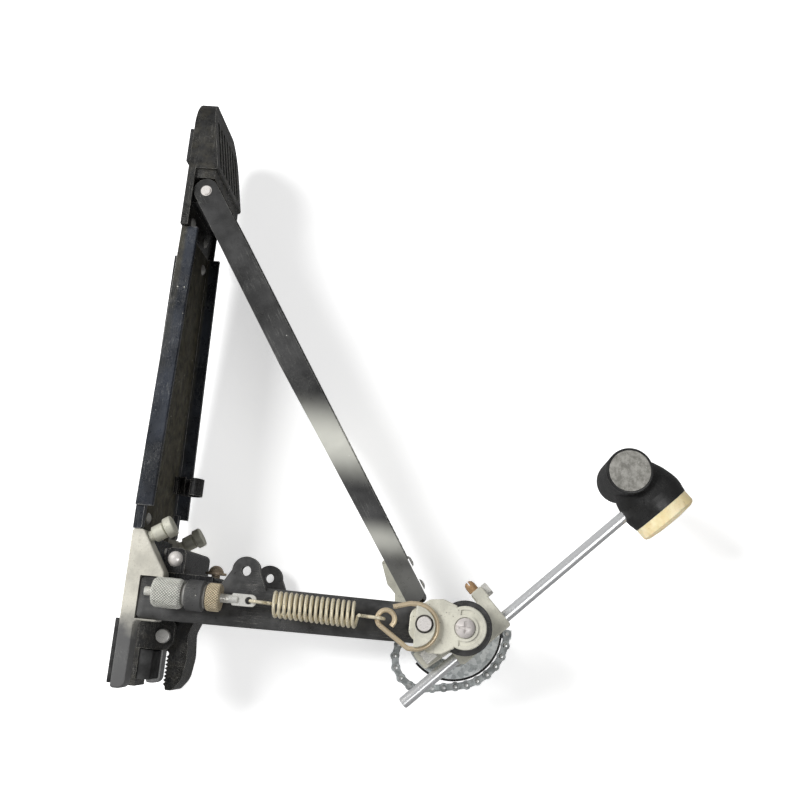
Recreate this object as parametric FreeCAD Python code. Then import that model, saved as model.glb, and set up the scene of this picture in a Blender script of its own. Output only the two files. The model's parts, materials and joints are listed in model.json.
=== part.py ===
import FreeCAD, Part
import os
from math import acos, asin, atan2, cos, degrees, hypot, radians, sin, sqrt, tan

# A chain-driven bass drum pedal, in millimetres.
# +X points forward to the drum, +Y to the player's left, +Z up.
# The origin is on the floor, under the axle, midway between the two posts.

V = FreeCAD.Vector
AXIS_X, AXIS_Y, AXIS_Z = V(1, 0, 0), V(0, 1, 0), V(0, 0, 1)

# ---- driving dimensions -------------------------------------------------------------------------
PAD = 3.0                     # thickness of the rubber that everything stands on
RUN = 0.05                    # radial clearance of a running fit
SEAT = 0.02                   # radial clearance of a part fixed in a hole

AXLE_Z = 232.0                # height of the axle
AXLE_R = 6.0
POST_Y = 42.0                 # middle of each post
POST_HALF = 8.0               # half the post's thickness
POST_FOOT_X = 14.2            # half the post's depth at the foot
POST_HEAD_X = 12.7            # half the post's depth under the bearing
RING_R = 17.8                 # bearing housing
RING_HALF = 9.8
BEARING_R = 12.0
FOOT_HALF = 6.0               # half the foot plate's thickness
FOOT_TOP = 13.0
FOOT_REAR, FOOT_FRONT = -45.0, 60.0
BRIDGE_TOP, BRIDGE_FRONT = 9.0, 13.0

EAR_X, EAR_Z, EAR_R = -23.5, 84.0, 9.5
EAR_HOLE_R = 3.3
EAR_THICK = 6.0

BASE_FRONT, BASE_REAR = -61.0, -267.0
BASE_FRONT_HALF, BASE_REAR_HALF = 50.0, 38.0
BASE_WALL = 3.4
BASE_FLOOR = 2.5
BASE_HEIGHT = 12.0

HEEL_X, HEEL_Z = -294.4, 18.0 # heel hinge
HEEL_PIN_R = 3.0
HEEL_HALF = 43.0
HEEL_BACK, HEEL_STEP = -371.0, -311.0
HEEL_LOW, HEEL_TOP = 14.0, 25.0       # the heel rest rises to the front

BOARD_TILT = 32.5             # the board is lifted and its chain hangs slack
BOARD_LENGTH = 333.0          # from the heel hinge to the toe
BOARD_HALF = 41.0
TOE_HALF = 31.0
NECK_START, NECK_END = 145.0, 210.0
FLANGE = 9.0                  # the flange's rim, above and below the hinge line
TOE_RIM = -4.5
SHEET = 2.5
RIDGE = 0.9                   # height of the ribs across the board

CAM_X, CAM_Z = 2.0, 224.0     # the cam's centre is a little below the axle
CAM_R = 32.8
STRIP_R = 34.3
CAM_START, CAM_END = 96.0, -58.0
CAM_Y0, CAM_Y1 = 0.0, 14.0
LUG_Y = 11.2                  # the lug that anchors the chain starts here

CHAIN_Y = 7.0
CHAIN_R = 38.0                # from the cam's centre to the pins
PITCH = 8.0
CHAIN_FIRST = 92.0            # angle of the first pin on the cam
WRAPPED = 7                   # links that lie on the cam
STRAIGHT = 3                  # links that hang straight in front of it
STRAIGHT_HEADING = -80.0
CURLED = 5                    # links of the slack loop
CURL_TURN = -22.5
CAM_FIXED = 3                 # wrapped links that never leave the cam
LINK_PIN_R = 1.15
LINK_END_R = 3.1
LINK_WAIST = 2.3
ROLLER_R = 2.5

ROD_LEAN = 44.7               # the beater leans back by this angle
ROD_OFFSET = 11.5             # from the axle to the beater rod
ROD_Y = -13.0
ROD_R = 4.0
ROD_LOW, ROD_HIGH = -64.5, 166.0
HUB_Y0, HUB_Y1 = -24.0, -2.0
HEAD_S = 157.0                # the head's middle, along the rod from the axle
FACE_T = 24.5                 # where the face meets the body
FACE_THICK = 11.0
FACE_R = 21.6
CROSS_S, CROSS_T = 153.5, -9.2
CROSS_R = 15.8
CROSS_HALF = 27.0

SPRING_Y = -63.0
EYE_X, EYE_Z = -4.0, 91.0
ROCKER_PIN_Z = AXLE_Z - 26.0
ROCKER_Y0, ROCKER_Y1 = -59.7, -52.8
SWIVEL_Y0, SWIVEL_Y1 = -67.0, -60.0
SWIVEL_R = 13.2
SWIVEL_X, SWIVEL_DROP = 2.0, 6.0
WIRE_R = 1.6
ARCH_R = 14.2                 # the wire's middle lies in a shallow groove of the swivel
GROOVE = 0.15                 # the groove's clearance around the wire
LOOP_R = 5.6
LOOP_S = 90.0
COIL_START, COIL_END = 15.0, 72.0
COIL_R = 7.75
COIL_WIRE_R = 1.05
HOOK_R = 5.0
HOOK_WIRE_R = 1.1
HOOK_GAP = 1.6                # slack between the top hook and the link's loop at rest

BOLT_R = 3.0
LUG_Z0, LUG_Z1 = 50.0, 62.0
NUT_R = 10.0

CLAMP_X, CLAMP_Z = 24.5, 27.0 # the hoop clamp's pivot
CLAMP_BOLT_Z = 53.0
JAW_HALF = 13.4
TONGUE_TOP = 9.1              # the clamp's tongue, under its rubber

SPUR_X, SPUR_Z, SPUR_TILT = -39.7, 13.4, 32.3
SPUR_R = 4.0

CLIP_X, CLIP_WIDE = -92.0, 13.0   # the drum key's spring clip, on the base
CLIP_Y, CLIP_Z, CLIP_R = 35.5, 17.5, 9.0
CLIP_SHEET = 1.5

PARTS = {}


# ---- helpers ------------------------------------------------------------------------------------
def box(x0, x1, y0, y1, z0, z1):
    return Part.makeBox(x1 - x0, y1 - y0, z1 - z0, V(x0, y0, z0))


def rod(start, axis, radius, length):
    return Part.makeCylinder(radius, length, start, axis)


def rod_y(x, z, y0, y1, radius):
    return Part.makeCylinder(radius, y1 - y0, V(x, y0, z), AXIS_Y)


def tube_y(x, z, y0, y1, outer, inner):
    return rod_y(x, z, y0, y1, outer).cut(rod_y(x, z, y0, y1, inner))


def ring(base, axis, length, outer, inner):
    return rod(base, axis, outer, length).cut(rod(base, axis, inner, length))


def revolved(profile, base=V(0, 0, 0), axis=AXIS_Z):
    """Turn a closed (radius, height) profile about the axis that leaves base."""
    wire = Part.makePolygon([V(r, 0, h) for r, h in profile] + [V(profile[0][0], 0, profile[0][1])])
    solid = Part.Face(wire).revolve(V(0, 0, 0), AXIS_Z, 360)
    solid.Placement = FreeCAD.Placement(base, FreeCAD.Rotation(AXIS_Z, axis))
    return solid


def bent_edges(points, radii):
    """Straight runs joined by tangent arcs: one radius for each inner point, 0 for a sharp corner."""
    edges = []
    last = points[0]
    for before, corner, after, radius in zip(points, points[1:], points[2:], radii):
        back = (before - corner).normalize()
        ahead = (after - corner).normalize()
        half = back.getAngle(ahead) / 2
        reach = radius / tan(half)
        start, end = corner + back * reach, corner + ahead * reach
        if (start - last).Length > 1e-4:
            edges.append(Part.LineSegment(last, start).toShape())
        if radius:
            middle = corner + (back + ahead).normalize() * (radius / sin(half) - radius)
            edges.append(Part.Arc(start, middle, end).toShape())
        last = end
    if (points[-1] - last).Length > 1e-4:
        edges.append(Part.LineSegment(last, points[-1]).toShape())
    return edges


def rounded_face(corners, y):
    """A flat face in the plane Y = y from (x, z, corner radius) points."""
    flat = [V(x, y, z) for x, z, _ in corners]
    start = (flat[0] + flat[-1]) * 0.5
    edges = bent_edges([start] + flat + [start], [radius for _, _, radius in corners])
    return Part.Face(Part.Wire(edges))


def plate(corners, y0, y1):
    """A plate with rounded corners, seen from the side, between two values of Y."""
    return rounded_face(corners, y0).extrude(V(0, y1 - y0, 0))


def plan(points, z0, z1):
    """A plate seen from above, between two heights."""
    wire = Part.makePolygon([V(x, y, z0) for x, y in points] + [V(points[0][0], points[0][1], z0)])
    return Part.Face(wire).extrude(V(0, 0, z1 - z0))


def softened(solid, radius, wanted):
    """Round the edges whose midpoint passes the test."""
    edges = [e for e in solid.Edges if wanted(e.valueAt((e.FirstParameter + e.LastParameter) / 2))]
    return solid.makeFillet(radius, edges)


def mirrored(solid):
    return solid.mirror(V(0, 0, 0), AXIS_Y)


def turned(solid, degrees_about_y, origin):
    """Tilt a solid about Y at the origin, then carry it to its place."""
    moved = solid.copy()
    moved.rotate(V(0, 0, 0), AXIS_Y, degrees_about_y)
    moved.translate(origin)
    return moved


def tube_along(points, radii, wire_radius):
    """A round wire bent along a path."""
    path = Part.Wire(bent_edges(points, radii))
    first = (points[1] - points[0]).normalize()
    circle = Part.Wire(Part.Circle(points[0], first, wire_radius).toShape())
    return path.makePipeShell([circle], True, True)


def threaded(radius, length, pitch, depth):
    """A screw thread drawn as close rings, from z = 0 up."""
    profile = [(0, 0), (radius - depth, 0)]
    for turn in range(int(length / pitch)):
        profile.append((radius, pitch * (turn + 0.5)))
        profile.append((radius - depth, pitch * (turn + 1)))
    profile += [(radius - depth, length), (0, length)]
    if profile[-2] == profile[-3]:
        profile.pop(-2)
    return revolved(profile)


def cap(radius, height):
    """A domed screw head standing on z = 0."""
    sphere = (radius ** 2 + height ** 2) / (2 * height)
    ball = Part.makeSphere(sphere, V(0, 0, height - sphere))
    return ball.common(rod(V(0, 0, 0), AXIS_Z, radius, height))


def dome(radius, height, shank, length):
    """A domed screw head on z = 0 with its shank below."""
    return cap(radius, height).fuse(rod(V(0, 0, -length), AXIS_Z, shank, length)).removeSplitter()


def placed(solid, origin, axis):
    """Carry a solid whose own axis is Z to a place and direction."""
    moved = solid.copy()
    moved.Placement = FreeCAD.Placement(origin, FreeCAD.Rotation(AXIS_Z, axis)).multiply(moved.Placement)
    return moved


def on_board(solid):
    return turned(solid, -BOARD_TILT, V(HEEL_X, 0, HEEL_Z))


def on_rod(solid):
    return turned(solid, -ROD_LEAN, V(0, 0, AXLE_Z))


SPRING_LEAN = degrees(atan2(0 - EYE_X, ROCKER_PIN_Z - EYE_Z))


def on_spring(solid):
    return turned(solid, SPRING_LEAN, V(EYE_X, SPRING_Y, EYE_Z))


def keep(name, shape):
    PARTS[name] = shape


# ---- frame --------------------------------------------------------------------------------------
def foot():
    outline = [(FOOT_REAR, PAD, 2), (FOOT_FRONT, PAD, 2), (FOOT_FRONT, FOOT_TOP, 5), (15.5, FOOT_TOP, 3),
               (15.5, 29, 3), (-17, 29, 3), (FOOT_REAR, 11, 3)]
    solid = plate(outline, -POST_Y - FOOT_HALF, -POST_Y + FOOT_HALF)
    outer = -POST_Y - FOOT_HALF
    solid = softened(solid, 1.2, lambda p: abs(p.y - outer) < 0.01 and p.z > PAD + 0.5)
    bore = placed(rod(V(0, 0, -30), AXIS_Z, SPUR_R + RUN, 60), V(SPUR_X, -POST_Y, SPUR_Z), spur_axis())
    return solid.cut(bore).cut(box(-POST_FOOT_X, POST_FOOT_X, -60, -20, FOOT_TOP, 30))


def post():
    side = [(-POST_FOOT_X, FOOT_TOP, 3), (POST_FOOT_X, FOOT_TOP, 3), (POST_HEAD_X, AXLE_Z - 12, 0),
            (-POST_HEAD_X, AXLE_Z - 12, 0)]
    outer, inner = -POST_Y - POST_HALF, -POST_Y + POST_HALF
    column = plate(side, outer, inner)
    column = softened(column, 6.0, lambda p: abs(p.y - outer) < 0.01 and p.z < AXLE_Z - 13)
    column = softened(column, 2.0, lambda p: abs(p.y - inner) < 0.01 and p.z < AXLE_Z - 13)
    ring_y0, ring_y1 = -POST_Y - RING_HALF, -POST_Y + POST_HALF
    housing = rod_y(0, AXLE_Z, ring_y0, ring_y1, RING_R)
    housing = softened(housing, 1.2, lambda p: abs(p.y - ring_y0) < 0.01)
    root = plate([(-11, EAR_Z - 17, 0), (EAR_X, EAR_Z - EAR_R, 0), (EAR_X, EAR_Z + EAR_R, 0),
                  (-11, EAR_Z + 15, 0)], outer + 1, outer + 1 + EAR_THICK)
    ear = root.fuse(rod_y(EAR_X, EAR_Z, outer + 1, outer + 1 + EAR_THICK, EAR_R))
    solid = column.fuse([housing, ear]).removeSplitter()
    solid = solid.cut(rod_y(EAR_X, EAR_Z, outer, inner, EAR_HOLE_R))
    return solid.cut(rod_y(0, AXLE_Z, ring_y0 - 1, ring_y1 + 1, BEARING_R + SEAT))


def spring_lug():
    """The eye that the tension bolt passes, on an arm from the right post."""
    outer = -POST_Y - POST_HALF
    arm = box(EYE_X - 7, EYE_X + 7, SPRING_Y + 3, outer + 2, LUG_Z0 + 1.5, LUG_Z1 - 1.5)
    eye = revolved([(0, LUG_Z0), (9, LUG_Z0), (10, LUG_Z0 + 1), (10, LUG_Z1 - 1), (9, LUG_Z1),
                    (0, LUG_Z1)], V(EYE_X, SPRING_Y, 0))
    return eye.fuse(arm).cut(rod(V(EYE_X, SPRING_Y, LUG_Z0 - 1), AXIS_Z, BOLT_R + RUN, 20))


def build_frame():
    keep("right_foot", foot())
    keep("left_foot", mirrored(foot()))
    keep("right_post", post().fuse(spring_lug()).removeSplitter())
    keep("left_post", mirrored(post()))
    bearing = revolved([(AXLE_R + RUN, 0), (7.8, 0), (8.2, 0.5), (10.2, 0.5), (10.6, 0), (BEARING_R, 0),
                        (BEARING_R, 9), (AXLE_R + RUN, 9)])
    right = placed(bearing, V(0, -POST_Y - RING_HALF + 0.6, AXLE_Z), AXIS_Y)
    keep("axle_bearings", Part.makeCompound([right, mirrored(right)]))
    inner = POST_Y - FOOT_HALF
    bridge = box(-42, BRIDGE_FRONT, -inner, inner, PAD, BRIDGE_TOP)
    keep("base_bridge", softened(bridge, 1.0, lambda p: p.z > BRIDGE_TOP - 0.1))


def build_pads():
    middle = POST_Y - FOOT_HALF - 2
    pads = [box(-40, 12, -middle, middle, 0, PAD)]
    for side in (-1, 1):
        foot_y = side * POST_Y
        pads.append(box(15, 57, foot_y - 4.5, foot_y + 4.5, 0, PAD))
        pads.append(box(-245, -80, side * 30 - 5, side * 30 + 5, 0, PAD))
        pads.append(box(-342, -316, side * 38.5 - 3.4, side * 38.5 + 3.4, 0, PAD))
    rounded = [softened(p, 0.8, lambda q: q.z < 0.01 or q.z > PAD - 0.01) for p in pads[1:]]
    keep("floor_pads", Part.makeCompound([pads[0]] + rounded))


def key_clip():
    """An open spring ring on a foot, made to hold the drum key."""
    end, floor = CLIP_X + CLIP_WIDE, PAD + BASE_FLOOR
    loop = ring(V(CLIP_X, CLIP_Y, CLIP_Z), AXIS_X, CLIP_WIDE, CLIP_R, CLIP_R - CLIP_SHEET)
    loop = loop.cut(box(CLIP_X - 1, end + 1, CLIP_Y - CLIP_R - 1, CLIP_Y, CLIP_Z - 3, CLIP_Z + 1))
    sole = box(CLIP_X, end, CLIP_Y - 6, CLIP_Y + 6, floor, floor + CLIP_SHEET)
    web = box(CLIP_X, end, CLIP_Y - 2, CLIP_Y + 2, floor, CLIP_Z - CLIP_R + CLIP_SHEET / 2)
    return loop.fuse([sole, web]).removeSplitter()


def build_base():
    def outline(inset, rear, front):
        slope = (BASE_FRONT_HALF - BASE_REAR_HALF) / (BASE_FRONT - BASE_REAR)
        back = BASE_REAR_HALF + slope * (rear - BASE_REAR) - inset
        lead = BASE_REAR_HALF + slope * (front - BASE_REAR) - inset
        return [(rear, -back), (front, -lead), (front, lead), (rear, back)]

    top = PAD + BASE_HEIGHT
    shell = plan(outline(0, BASE_REAR, BASE_FRONT), PAD, top)
    shell = softened(shell, 1.0, lambda p: p.z > top - 0.01 and abs(p.y) > 20)
    hollow = plan(outline(BASE_WALL, BASE_REAR - 5, BASE_FRONT + 5), PAD + BASE_FLOOR, top + 5)
    tongue = plan([(BASE_FRONT, -45), (FOOT_REAR - 1, -36), (-42.1, -36), (-42.1, 36), (FOOT_REAR - 1, 36),
                   (BASE_FRONT, 45)], PAD, PAD + BASE_FLOOR)
    solid = shell.cut(hollow).fuse(tongue)
    for side in (-1, 1):
        low, high = sorted((side * 41.5, side * 47.8))
        arm = plate([(BASE_FRONT - 3, PAD, 0), (FOOT_REAR - 0.1, PAD, 0), (FOOT_REAR - 0.1, PAD + 6, 2),
                     (BASE_FRONT - 3, PAD + 6, 0)], low, high)
        solid = solid.fuse(arm)
    keep("base_plate", solid.removeSplitter())
    keep("key_clip", key_clip())


def heel_plate():
    sides = [(HEEL_BACK, PAD, 1.5), (HEEL_STEP, PAD, 0), (HEEL_STEP, HEEL_TOP, 2), (HEEL_BACK, HEEL_LOW, 4)]
    shell = plate(sides, -HEEL_HALF, HEEL_HALF)
    round_r = 26.0
    shape = plan([(HEEL_BACK + round_r, -HEEL_HALF), (-250, -HEEL_HALF), (-250, HEEL_HALF),
                  (HEEL_BACK + round_r, HEEL_HALF)], 0, 60)
    for side in (-1, 1):
        corner = rod(V(HEEL_BACK + round_r, side * (HEEL_HALF - round_r), 0), AXIS_Z, round_r, 60)
        shape = shape.fuse(corner)
    between = HEEL_HALF - round_r
    shape = shape.fuse(box(HEEL_BACK, HEEL_BACK + round_r + 1, -between, between, 0, 60))
    shell = shell.common(shape)
    roof = 3.1
    rise = (HEEL_TOP - HEEL_LOW) / (HEEL_STEP - HEEL_BACK)
    hollow = [(HEEL_BACK + 8, PAD - 1, 0), (HEEL_STEP + 1, PAD - 1, 0), (HEEL_STEP + 1, HEEL_TOP - roof, 0),
              (HEEL_BACK + 8, HEEL_LOW + 8 * rise - roof, 0)]
    shell = shell.cut(plate(hollow, -HEEL_HALF + 9, HEEL_HALF - 9))
    tray = box(HEEL_STEP - 2, BASE_REAR - 0.1, -HEEL_HALF, HEEL_HALF, PAD, PAD + BASE_FLOOR)
    wall = box(HEEL_STEP - 1, HEEL_X - FLANGE - 0.8, -HEEL_HALF + 2, HEEL_HALF - 2, PAD, HEEL_TOP - 2)
    solid = shell.fuse([tray, wall])
    for side in (-1, 1):
        low, high = sorted((side * HEEL_HALF, side * (HEEL_HALF - 2.4)))
        solid = solid.fuse(box(HEEL_STEP - 2, BASE_REAR - 0.1, low, high, PAD, PAD + 5.4))
    slope = degrees(atan2(rise, 1))
    for row in range(-3, 4):
        groove = box(-44, -6, row * 10 - 2.6, row * 10 + 2.6, -1.4, 5)
        solid = solid.cut(turned(groove, -slope, V(HEEL_STEP, 0, HEEL_TOP)))
    return solid.removeSplitter()


def build_heel():
    keep("heel_plate", heel_plate())
    block = plate([(-301.5, PAD + BASE_FLOOR, 0), (-287.3, PAD + BASE_FLOOR, 0), (-287.3, PAD + 6, 1),
                   (HEEL_X + 5.6, HEEL_Z - 6, 0), (HEEL_X + 5.6, HEEL_Z, 0), (HEEL_X - 5.6, HEEL_Z, 0),
                   (HEEL_X - 5.6, HEEL_Z - 6, 0), (-301.5, PAD + 6, 1)], -34, 34)
    block = block.fuse(rod_y(HEEL_X, HEEL_Z, -34, 34, 5.6)).removeSplitter()
    keep("hinge_block", block.cut(rod_y(HEEL_X, HEEL_Z, -35, 35, HEEL_PIN_R + RUN)))
    pin = rod_y(HEEL_X, HEEL_Z, -BOARD_HALF - 0.6, BOARD_HALF + 0.6, HEEL_PIN_R)
    for side in (-1, 1):
        low, high = sorted((side * (BOARD_HALF - 0.2), side * (BOARD_HALF - SHEET + 0.2)))
        pin = pin.fuse(rod_y(HEEL_X, HEEL_Z, low, high, HEEL_PIN_R + 1))
    keep("heel_pin", pin.removeSplitter())


def build_screws():
    """The heads of the screws that only hold the base together."""
    head = cap(4.2, 2.2).cut(box(-5, 5, -0.5, 0.5, 1.2, 3))
    floor = PAD + BASE_FLOOR
    seats = [(-54, 24, floor), (-255, 24, floor), (-276, 20, floor), (-33, 20, BRIDGE_TOP)]
    heads = [placed(head, V(x, side * y, z), AXIS_Z) for x, y, z in seats for side in (-1, 1)]
    keep("frame_screws", Part.makeCompound(heads))


# ---- hoop clamp ---------------------------------------------------------------------------------
def build_clamp():
    width = POST_Y - FOOT_HALF
    wall = box(-18, -12, -POST_Y + POST_HALF, POST_Y - POST_HALF, BRIDGE_TOP, 60)
    wall = softened(wall, 2.0, lambda p: p.z > 59.9)
    bar = plate([(-35, 25, 4), (-18, 25, 0), (-18, 39, 0), (-35, 39, 4)], -width, width)
    bracket = wall.fuse(bar)
    bracket = bracket.cut(rod(V(-30, 0, CLAMP_BOLT_Z), AXIS_X, BOLT_R + RUN, 30))
    for side in (-1, 1):
        bracket = bracket.cut(rod_y(-27.5, 32, *sorted((side * width, side * (width - 12))), 3.0))
    keep("clamp_bridge", bracket.removeSplitter())
    head = dome(5.3, 3.6, 2.9, 10)
    bolts = [placed(head, V(-27.5, side * (width + 0.05), 32), AXIS_Y * side) for side in (-1, 1)]
    keep("bar_bolts", Part.makeCompound(bolts))

    block = box(14, 34, -20, 20, BRIDGE_TOP, 13)
    for side in (-1, 1):
        cheek = plate([(14, 12, 0), (34, 12, 0), (34, 30, 5), (29, 34, 4), (14, 34, 3)],
                      *sorted((side * 20, side * 14)))
        block = block.fuse(cheek)
    heel = box(BRIDGE_FRONT, 15, -20, 20, PAD, 13)
    tongue = box(14, 60, -12, 12, PAD + 1, TONGUE_TOP)
    block = block.fuse([heel, tongue])
    block = block.cut(rod_y(CLAMP_X, CLAMP_Z, -21, 21, 3 + SEAT)).removeSplitter()
    keep("clamp_block", block)
    keep("clamp_pad", softened(box(35, 55, -11, 11, TONGUE_TOP, 19), 1.2, lambda p: p.z > 18.9))
    pin = rod_y(CLAMP_X, CLAMP_Z, -20.2, 23, 3)
    for low, high in ((-24.2, -20.1), (20.1, 23)):
        pin = pin.fuse(rod_y(CLAMP_X, CLAMP_Z, low, high, 4.8))
    pin = softened(pin.removeSplitter(), 0.8, lambda p: p.y < -24.1 or p.y > 22.9)
    keep("clamp_pivot", pin)

    teeth = []
    for tooth in range(8):
        teeth += [(37 + 2.6 * tooth, 30.6, 0), (38.3 + 2.6 * tooth, 29, 0)]
    outline = [(18, 20, 5), (31, 20, 4), (35.2, 30.6, 2)] + teeth + [
        (58, 30.6, 0), (60.5, 31, 1), (60.5, 35.5, 2), (53, 41.5, 14), (38, 43.5, 20), (22, 42, 12),
        (9, 47, 8), (4, 59, 3), (-6, 59, 3), (-6, 44, 10), (4, 34, 10), (14, 32, 6)]
    jaw = plate(outline, -JAW_HALF, JAW_HALF)
    hole = rod_y(CLAMP_X, CLAMP_Z, -20, 20, 3 + RUN)
    keep("clamp_jaw", jaw.cut(hole))

    bolt = dome(5.4, 5.0, BOLT_R, 15.5)
    flange = rod(V(0, 0, -1.6), AXIS_Z, 7.5, 1.6)
    keep("clamp_bolt", placed(bolt.fuse(flange).removeSplitter(), V(-22.2, 0, CLAMP_BOLT_Z), V(-1, 0, 0)))


# ---- spurs --------------------------------------------------------------------------------------
def spur_axis():
    return V(-sin(radians(SPUR_TILT)), 0, cos(radians(SPUR_TILT)))


def build_spurs():
    """Threaded floor spurs: z = 0 is where each leaves the slope of its foot."""
    low = -11.0
    shank = threaded(SPUR_R, 24, 1.25, 0.35)
    shank.translate(V(0, 0, low + 1.5))
    tip = Part.makeCone(1.2, SPUR_R - 0.35, 2.5, V(0, 0, low - 1.0), AXIS_Z)
    collar = revolved([(0, 4.2), (5.1, 4.2), (5.6, 4.7), (5.6, 11.7), (5.1, 12.2), (0, 12.2)])
    head = revolved([(0, 13.0), (6.6, 13.0), (7.2, 13.6), (7.2, 18.4), (6.6, 19), (0, 19)])
    slot = box(-8, 8, -0.9, 0.9, 17.4, 20)
    spur = shank.fuse([tip, collar, head]).removeSplitter().cut(slot)
    for name, side in (("spur_right", -1), ("spur_left", 1)):
        keep(name, placed(spur, V(SPUR_X, side * POST_Y, SPUR_Z), spur_axis()))


# ---- footboard ----------------------------------------------------------------------------------
def board_half(u):
    """Half the board's width at a distance from its hinge."""
    if u <= NECK_START or u >= NECK_END:
        return BOARD_HALF if u <= NECK_START else TOE_HALF
    way = (u - NECK_START) / (NECK_END - NECK_START)
    return BOARD_HALF + (TOE_HALF - BOARD_HALF) * way * way * (3 - 2 * way)


def board_plan(inset, z0, z1):
    """The board seen from above, with a smooth neck between its wide and its narrow part."""
    half, toe = BOARD_HALF - inset, TOE_HALF - inset
    third = (NECK_END - NECK_START) / 3
    edges = []
    for side in (-1, 1):
        wide, start = V(-20, side * half, z0), V(NECK_START, side * half, z0)
        end, tip = V(NECK_END, side * toe, z0), V(BOARD_LENGTH, side * toe, z0)
        neck = Part.BezierCurve()
        neck.setPoles([start, start + V(third, 0, 0), end - V(third, 0, 0), end])
        edges += [Part.makeLine(wide, start), neck.toShape(), Part.makeLine(end, tip)]
    edges.append(Part.makeLine(V(-20, -half, z0), V(-20, half, z0)))
    edges.append(Part.makeLine(V(BOARD_LENGTH, -toe, z0), V(BOARD_LENGTH, toe, z0)))
    outline = Part.Wire(Part.__sortEdges__(edges))
    return Part.Face(outline).extrude(V(0, 0, z1 - z0))


def footboard():
    outer = board_plan(0, -FLANGE - 1, FLANGE)
    inner = board_plan(SHEET, -FLANGE - 2, FLANGE - SHEET)
    side = [(-FLANGE, -FLANGE, FLANGE - 0.05), (NECK_START, -FLANGE, 40), (BOARD_LENGTH, TOE_RIM, 3),
            (BOARD_LENGTH, FLANGE, 4), (-FLANGE, FLANGE, FLANGE - 0.05)]
    board = outer.common(plate(side, -60, 60)).cut(inner)
    board = board.cut(rod_y(0, 0, -60, 60, HEEL_PIN_R + 1 + SEAT))
    ridges = []
    step = 5.0
    for row in range(int((BOARD_LENGTH - 45) / step)):
        u = 18 + step * row
        half = board_half(u)
        ridges.append(plate([(u, FLANGE - 0.4, 0), (u + 2.4, FLANGE - 0.4, 0), (u + 1.9, FLANGE + RIDGE, 0),
                             (u + 0.5, FLANGE + RIDGE, 0)], -half + 3.5, half - 3.5))
    return on_board(board.fuse(ridges))


def toe_pivot():
    pins, _ = chain_layout()
    return pins[-1]


def build_board():
    keep("footboard", footboard())
    pivot = toe_pivot()
    dx, dz = pivot.x - HEEL_X, pivot.z - HEEL_Z
    tilt = radians(BOARD_TILT)
    u = dx * cos(tilt) + dz * sin(tilt)
    v = -dx * sin(tilt) + dz * cos(tilt)
    under = FLANGE - SHEET
    base = plate([(296, under, 0), (296, -8, 2), (312, -11.5, 3), (BOARD_LENGTH - 2, -7, 3),
                  (BOARD_LENGTH - 2, under, 0)], CHAIN_Y - 14, CHAIN_Y + 14)
    base = base.cut(plate([(300, under - 3, 0), (300, -20, 0), (330, -20, 0), (330, under - 3, 0)],
                          CHAIN_Y - 11, CHAIN_Y + 11))
    for side in (-1, 1):
        low, high = sorted((CHAIN_Y + side * 4.3, CHAIN_Y + side * 7.3))
        ear = plate([(316, under - 2, 0), (316, -8, 2), (u - 2, v - 4.5, 4), (u + 4.5, v - 4.5, 4.4),
                     (u + 4.5, v + 4.5, 4.4), (BOARD_LENGTH - 1, under - 4, 2),
                     (BOARD_LENGTH - 2.5, under - 2, 0)], low, high)
        base = base.fuse(ear)
    keep("chain_bracket", on_board(base.removeSplitter()))
    seats = [(x, y) for y in (-5, CHAIN_Y + 12.4) for x in (304, 322)]
    heads = [on_board(placed(cap(3.4, 1.8), V(x, y, FLANGE + RIDGE), AXIS_Z)) for x, y in seats]
    keep("bracket_screws", Part.makeCompound(heads))


# ---- cam, axle and chain ------------------------------------------------------------------------
def cam_point(angle, radius, y=0.0):
    return V(CAM_X + radius * cos(radians(angle)), y, CAM_Z + radius * sin(radians(angle)))


def sector(start, end, outer, inner, y0, y1):
    """A curved band about the cam's centre, from one angle down to another."""
    middle = (start + end) / 2
    edges = [Part.Arc(cam_point(start, outer, y0), cam_point(middle, outer, y0),
                      cam_point(end, outer, y0)).toShape(),
             Part.LineSegment(cam_point(end, outer, y0), cam_point(end, inner, y0)).toShape(),
             Part.Arc(cam_point(end, inner, y0), cam_point(middle, inner, y0),
                      cam_point(start, inner, y0)).toShape(),
             Part.LineSegment(cam_point(start, inner, y0), cam_point(start, outer, y0)).toShape()]
    return Part.Face(Part.Wire(edges)).extrude(V(0, y1 - y0, 0))


def build_cam():
    rim = sector(CAM_START, CAM_END, CAM_R, 20.5, CAM_Y0, CAM_Y1)
    web = sector(CAM_START, CAM_END, 21, 3, CAM_Y0 + 3, CAM_Y1 - 3)
    web = web.cut(sector(58, -30, 20.5, 15, CAM_Y0, CAM_Y1))
    hub = rod_y(0, AXLE_Z, CAM_Y0, CAM_Y1, 12.5)
    lug = sector(CAM_START, CHAIN_FIRST - 5, CHAIN_R + 3.5, 30, LUG_Y, CAM_Y1)
    cam = rim.fuse([web, hub, lug]).cut(rod_y(0, AXLE_Z, -1, 20, AXLE_R + SEAT))
    anchor = cam_point(CHAIN_FIRST, CHAIN_R)
    cam = cam.cut(rod_y(anchor.x, anchor.z, CAM_Y0, CAM_Y1 + 1, LINK_PIN_R + SEAT))
    keep("cam", cam.removeSplitter())
    keep("cam_strip", sector(CAM_START - 1, CAM_END + 14, STRIP_R, CAM_R, CAM_Y0 + 0.6, LUG_Y - 0.2))

    axle = revolved([(0, -60.3), (AXLE_R, -60.3), (AXLE_R, 52.6), (9.5, 52.6), (9.5, 57.4), (8.5, 58.4),
                     (0, 58.4)], V(0, 0, AXLE_Z), AXIS_Y)
    axle = axle.cut(rod_y(0, AXLE_Z, -60.4, -50, 2.5 + SEAT))
    keep("axle", axle)


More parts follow.
